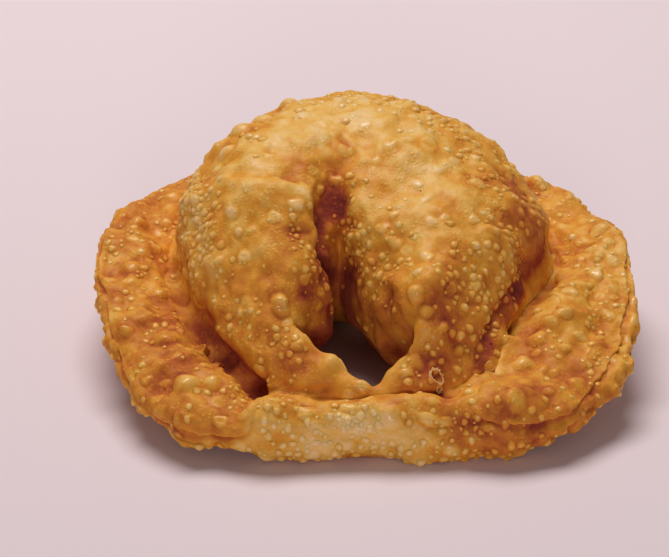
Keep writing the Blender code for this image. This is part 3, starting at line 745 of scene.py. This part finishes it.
print("empanada: browning it")
onBrim = ease(-np.abs(fromEdge), -0.17, -0.13) + 0 * turn
plain = browningAndShade["dome"] + (browningAndShade["brim"] - browningAndShade["dome"]) * onBrim
plain = plain + (browningAndShade["belly"] - browningAndShade["dome"]) * (1 - onTop)
crust["toast"] = atMost(toastedAndShaded(crust, turn, station, plain), *browningAndShade["mostBelow"])
brim["toast"] = atMost(toastedAndShaded(brim, brim["turn"], brim["station"], browningAndShade["sheet"]), *browningAndShade["most"])
empanada = skinObject("friedCrust", crust)
upper = skinObject("brimUpperSheet", brim)


def domeFaces(sides, rings, count):
    # For each dome: quads between its rings, a fan up to its tip and one down to the point below it.
    k = np.arange(sides)
    nextK = (k + 1) % sides
    band = np.stack([k, nextK, sides + nextK, sides + k], -1)
    tip, under = rings * sides, rings * sides + 1
    parts = [band + r * sides for r in range(rings - 1)]
    parts += [np.stack([tip - sides + k, tip - sides + nextK, np.full(sides, tip)], -1),
              np.stack([nextK, k, np.full(sides, under)], -1)]
    offset = (np.arange(count) * (under + 1))[:, None, None]
    return [face for part in parts for face in (part[None] + offset).reshape(-1, part.shape[1]).tolist()]


def domes(name, skin, likely, taken):
    # A dome at each drawn spot, as a function of angle and ring: laid on the skin by stepping along its grid,
    # and raised along the skin's outward direction by the profile. A point below the skin closes it.
    spots, radii = spotsBy(name, likely, skin["base"], taken)
    places = np.concatenate([taken[0], skin["base"].reshape(-1, 3)[spots]]), np.concatenate([taken[1], radii])
    points, out = skin["points"], skin["out"]
    b = blisters
    ratio, sides, profile = b[name][3:]
    profile = np.array(profile)
    rings = len(profile)
    si, sj = np.divmod(spots, points.shape[1])
    sound = cellArea(points)[si, sj] > 0
    spots, radii, si, sj = spots[sound], radii[sound], si[sound], sj[sound]
    count = len(spots)
    along = (np.roll(points, -1, 0) - np.roll(points, 1, 0))[si, sj] / 2
    up = (np.roll(points, -1, 1) - np.roll(points, 1, 1))[si, sj] / 2
    ahead = along / np.linalg.norm(along, axis=1)[:, None]
    lean = (up * ahead).sum(1)  # how far the grid's other direction leans along the first
    square = np.linalg.norm(up - lean[:, None] * ahead, axis=1)
    alongLength, upLength, skew = (k[:, None, None] for k in (np.linalg.norm(along, axis=1), square, lean))
    angle = 2 * np.pi * (np.arange(sides) / sides)[None, None, :]
    angle = angle + draw.uniform(0, 6.28, count)[:, None, None]
    stretch = draw.uniform(0.0, b["stretch"], count)[:, None, None]
    turned = draw.uniform(0, 6.28, count)[:, None, None]
    ring = radii[:, None, None] * profile[None, :, 0, None] * (1 + stretch * np.cos(2 * (angle - turned)))
    ring = ring * (1 + b["lobed"] * np.sin(3 * angle + turned))
    dv = ring * np.sin(angle) / upLength
    u = si[:, None, None] + (ring * np.cos(angle) - dv * skew) / alongLength
    v = sj[:, None, None] + dv
    tall = radii * ratio * draw.uniform(*b["heights"], count)
    lift = tall[:, None, None] * profile[None, :, 1, None]
    skirt = onGrid(points, u, v) + onGrid(out, u, v) * lift[..., None]
    spot, spotOut = points.reshape(-1, 3)[spots], out.reshape(-1, 3)[spots]
    top = spot + spotOut * tall[:, None]
    bottom = spot - spotOut * (0.5 * radii)[:, None]
    made = np.concatenate([skirt.reshape(count, -1, 3), top[:, None], bottom[:, None]], 1)
    made = np.clip(made, low, high)
    close = np.linalg.norm(made - spot[:, None], axis=-1).max(axis=1) < 2.2 * radii  # none torn by a fold
    made, spots, count = made[close], spots[close], int(close.sum())
    rise = np.repeat(np.clip(profile[:, 1], 0, 1) ** 1.6, sides)
    foot = np.repeat(bell(profile[:, 0] - 1.05, 0.20), sides)
    rise, foot = np.append(rise, [1.0, 0.0]), np.append(foot, [0.0, 0.0])
    toast = skin["toast"].ravel()[spots][:, None] * (1 - b["palerTops"] * rise)
    toast = toast + draw.normal(*b["tones"], count)[:, None]
    values = {"toast": toast.ravel(), "puff": np.tile(rise, count), "moat": np.tile(foot, count)}
    return meshObject(name, made.reshape(-1, 3), domeFaces(sides, rings, count), values), places


print("empanada: blowing the beads")
crowds = blisters["plainDrops"] + spread(turn, station, blisters["dropCrowds"])
drops, taken = domes("drops", crust, likely * crowds, taken)
crowds = blisters["plainBeads"] + spread(turn, station, blisters["crowds"])
beads, taken = domes("beads", crust, likely * crowds * patches, taken)
patches = 0.08 + 1.8 * ease(waves(brim["base"], 8.0, 32), 0.0, 1.2)
brimBeads, _ = domes("brimBeads", brim, likelyOnBrim * patches, takenOnBrim)


tornBubbles = {  # by the right leg: turn, station, half widths, height, and a phase that sets its tears
    "rows": ((-21.0, 0.318, 1.25, 1.75, 0.95, 0.4), (-18.8, 0.232, 0.55, 0.80, 0.60, 2.1)),
    "wall": 0.12, "sides": 72,
}


def tornShell(turnAt, stationAt, halfWide, halfLong, tall, phase):
    # A thin cup, as a function of angle and of the way round its wall: out and up the outside to a torn rim,
    # and down the inside. Rim and outline waver with sines of several angles; the highest tips lean out.
    u = np.array((turnAt + 180.0) / 360.0 * rows)
    v = np.array(np.interp(stationAt, station[0], np.arange(columns)))
    centre, normal = onGrid(crust["points"], u, v), onGrid(crust["out"], u, v)
    side = np.cross(normal, (0, 0, 1.0))
    side /= np.linalg.norm(side)
    other = np.cross(side, normal)
    angle = 2 * np.pi * np.arange(tornBubbles["sides"]) / tornBubbles["sides"]
    rim = 0.42 + 0.30 * np.cos(angle - 1.2 + phase) + 0.26 * np.cos(3 * angle + phase) * np.cos(2 * angle)
    rim = rim + 0.55 * np.clip(np.sin(7 * angle + phase), 0.5, 1) + 0.16 * np.sin(13 * angle)
    rim = np.clip(rim - 0.22, 0.06, 1.2) * tall
    waver = 1 + 0.16 * np.sin(2 * angle + phase) + 0.10 * np.sin(3 * angle + 2 * phase)
    waver = waver + 0.05 * np.sin(8 * angle)
    way = np.linspace(0, 1, 7)
    wide = 1.04 - 0.20 * way + 0.34 * (rim / tall)[:, None] * way**3
    outside = np.stack([wide, -0.5 + (rim[:, None] + 0.5) * way], -1)
    inside = outside[:, ::-1] - np.array([tornBubbles["wall"], 0.0])
    section = np.concatenate([outside, inside], 1)
    spin = halfWide * np.cos(angle)[:, None, None] * side + halfLong * np.sin(angle)[:, None, None] * other
    return centre + spin * waver[:, None, None] * section[..., :1] + normal * section[..., 1:]


shells = np.stack([tornShell(*row) for row in tornBubbles["rows"]])
shell = np.array(closedGrid(*shells.shape[1:3]))
faces = np.concatenate([shell, shell + shells[0].size // 3]).tolist()
ones = np.ones(shells.size // 3)
values = {"toast": 0.12 * ones, "puff": ones, "moat": 0 * ones}
torn = meshObject("tornBubbles", np.clip(shells, low, high).reshape(-1, 3), faces, values)


friedLook = {
    "ramp": ((0.00, (0.90, 0.570, 0.25)), (0.20, (0.83, 0.47, 0.105)), (0.40, (0.74, 0.312, 0.028)),
             (0.58, (0.60, 0.190, 0.021)), (0.75, (0.41, 0.087, 0.028)), (0.90, (0.25, 0.042, 0.026)),
             (1.00, (0.13, 0.025, 0.020))),
    # the darkening of the blister feet is painted shade where they meet the dough
    "puffPaler": 0.18, "moatShade": 0.06, "patchSize": 0.0050, "patchDepth": 0.10,
    "grainSize": 0.0011, "grainDepth": 0.12, "roughness": (0.46, 0.86), "specular": (0.22, 0.03),
    "bubbleSize": 0.00095, "bubblePatches": 0.0065, "bubbleHeight": 0.00010, "bubblePaler": 0.11,
    "grainHeight": 0.00008, "fineSize": 0.0004, "speckSize": 0.009, "speckDarker": 0.5,
    "subsurface": 0.35, "subsurfaceRadius": (1.0, 0.40, 0.10), "subsurfaceScale": 0.0007,
    "coat": (0.05, 0.45), "coatRoughness": 0.18,  # on plain crust and on blister tops; none where it is dark
}


def friedDough():
    # Browning and painted shade, from the attributes and two noises, runs through a colour ramp: blister tops
    # are paler and shinier, and their feet darker, as painted shade. Fine bubbles, each a cap round a cell's
    # middle, and grain are bump.
    look = friedLook
    made = bpy.data.materials.new("friedDough")
    made.use_nodes = True
    nodes, links = made.node_tree.nodes, made.node_tree.links

    def feed(target, values):
        for key, value in values.items():
            if isinstance(value, bpy.types.NodeSocket):
                links.new(value, target.inputs[key])
            else:
                target.inputs[key].default_value = value

    def node(kind, values, **settings):
        new = nodes.new(kind)
        for key, value in settings.items():
            setattr(new, key, value)
        feed(new, values)
        return new

    def plus(first, second, operation="ADD"):
        return node("ShaderNodeMath", {0: first, 1: second}, operation=operation).outputs[0]

    def times(first, second):
        return plus(first, second, "MULTIPLY")

    def noise(size, detail):
        values = {"Vector": place, "Scale": 1 / size, "Detail": detail, "Roughness": 0.55}
        return node("ShaderNodeTexNoise", values).outputs["Fac"]

    def fromCell(size, randomness):
        values = {"Vector": place, "Scale": 1 / size, "Randomness": randomness}
        return node("ShaderNodeTexVoronoi", values, feature="F1").outputs["Distance"]

    def between(value, low, high, toLow=0.0, toHigh=1.0):
        values = {"Value": value, "From Min": low, "From Max": high, "To Min": toLow, "To Max": toHigh}
        return node("ShaderNodeMapRange", values, interpolation_type="SMOOTHSTEP").outputs["Result"]

    place = node("ShaderNodeTexCoord", {}).outputs["Object"]
    toast, puff, moat = (
        node("ShaderNodeAttribute", {}, attribute_name=key).outputs["Fac"]
        for key in ("toast", "puff", "moat")
    )
    patch, grain, fine = noise(look["patchSize"], 4), noise(look["grainSize"], 3), noise(look["fineSize"], 2)
    brown = plus(toast, times(plus(patch, 0.5, "SUBTRACT"), look["patchDepth"] * 2))
    brown = plus(brown, times(plus(grain, 0.5, "SUBTRACT"), look["grainDepth"] * 2))
    brown = plus(brown, times(puff, look["puffPaler"]), "SUBTRACT")
    # painted shade at the blister feet
    brown = plus(brown, times(moat, look["moatShade"]))
    bubbly = between(noise(look["bubblePatches"], 2), 0.40, 0.58)  # fine bubbles come in patches
    bubble = times(between(fromCell(look["bubbleSize"], 0.9), 0.10, 0.46, 1.0, 0.0), bubbly)
    brown = plus(brown, times(bubble, look["bubblePaler"]), "SUBTRACT")
    speck = between(fromCell(look["speckSize"], 1.0), 0.020, 0.034, 1.0, 0.0)  # a few dark specks
    brown = plus(brown, times(speck, look["speckDarker"]))

    ramp = node("ShaderNodeValToRGB", {"Fac": brown})
    while len(ramp.color_ramp.elements) < len(look["ramp"]):
        ramp.color_ramp.elements.new(0.5)
    for element, (at, colour) in zip(ramp.color_ramp.elements, look["ramp"]):
        element.position, element.color = at, (*colour, 1.0)

    rough = plus(plus(patch, times(fine, 0.4)), times(toast, 0.6))
    height = plus(times(bubble, look["bubbleHeight"]), times(grain, look["grainHeight"] * 2))
    height = plus(height, times(fine, look["grainHeight"]))
    bump = node("ShaderNodeBump", {"Strength": 1.0, "Distance": 1.0, "Height": height})
    shine = times(between(puff, 0.3, 1.0, *look["coat"]), between(brown, 0.45, 0.70, 1.0, 0.0))
    feed(nodes["Principled BSDF"], {
        "Base Color": ramp.outputs["Color"], "Normal": bump.outputs["Normal"],
        "Roughness": between(rough, 0.65, 1.35, *look["roughness"]),
        "Subsurface Weight": look["subsurface"], "Subsurface Radius": look["subsurfaceRadius"],
        "Subsurface Scale": look["subsurfaceScale"],
        "Specular IOR Level": between(brown, 0.50, 0.80, *look["specular"]),
        "Coat Weight": shine, "Coat Roughness": look["coatRoughness"],
    })
    return made


print("empanada: material, pieces")
fried = friedDough()
for piece in (empanada, upper, drops, beads, brimBeads, torn):
    piece.data.materials.append(fried)
    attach(piece, "root")
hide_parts("empanada_crust")


studio = {
    "floorColour": (0.80, 0.665, 0.690), "floorSize": 6.0,
    # place, size and power of each lamp
    "overhead": ((-0.10, 0.37, 0.88), (0.72, 0.42), 7.9), "front": ((0.0, -1.0, 0.24), (0.26, 0.20), 2.5),
    "lampColour": (1.0, 0.98, 0.97), "world": (1.0, 0.98, 0.98), "worldStrength": 0.13,
    "target": (-0.00577, 0.0076, 0.009), "elevation": 27.0, "distance": 0.400, "focalPixels": 1880.0,
}


def tableMaterial():
    # One plain, nearly matt colour.
    made = bpy.data.materials.new("paleTable")
    made.use_nodes = True
    shader = made.node_tree.nodes["Principled BSDF"]
    shader.inputs["Base Color"].default_value = (*studio["floorColour"], 1.0)
    shader.inputs["Roughness"].default_value = 0.85
    shader.inputs["Specular IOR Level"].default_value = 0.1
    return made


def lamp(name):
    # An elliptical area light that points at the middle of the empanada.
    place, size, power = studio[name]
    light = bpy.data.lights.new(name, "AREA")
    light.shape = "ELLIPSE"
    light.size, light.size_y = size
    light.energy, light.color = power, studio["lampColour"]
    made = bpy.data.objects.new(name, light)
    made.location = place
    made.rotation_euler = (Vector((0, 0, 0.015)) - Vector(place)).to_track_quat("-Z", "Y").to_euler()
    bpy.context.scene.collection.objects.link(made)


def buildStudio():
    # A square of table, two lamps, a faint world, and the camera on a line that rises by its elevation.
    side = studio["floorSize"] / 2 / mm
    ground = np.array([(-side, -side, 0), (side, -side, 0), (side, side, 0), (-side, side, 0)], float)
    floor = meshObject("floor", ground, [(0, 1, 2, 3)], {}, smooth=False)
    floor.data.materials.append(tableMaterial())
    floor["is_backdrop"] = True
    lamp("overhead")
    lamp("front")
    world = bpy.data.worlds.new("softRoom")
    world.use_nodes = True
    background = world.node_tree.nodes["Background"]
    background.inputs["Color"].default_value = (*studio["world"], 1.0)
    background.inputs["Strength"].default_value = studio["worldStrength"]
    bpy.context.scene.world = world
    bpy.context.scene.view_settings.view_transform = "Standard"
    lens = bpy.data.cameras.new("camera")
    lens.sensor_width, lens.lens = 36.0, 36.0 * studio["focalPixels"] / 669
    lens.clip_start = 0.01
    camera = bpy.data.objects.new("camera", lens)
    tilt = np.radians(studio["elevation"])
    back = Vector((0, -np.cos(tilt), np.sin(tilt))) * studio["distance"]
    camera.location = Vector(studio["target"]) + back
    camera.rotation_euler = (np.pi / 2 - tilt, 0, 0)
    bpy.context.scene.collection.objects.link(camera)
    bpy.context.scene.camera = camera


print("empanada: table, light and camera")
buildStudio()

bpy.context.view_layer.update()
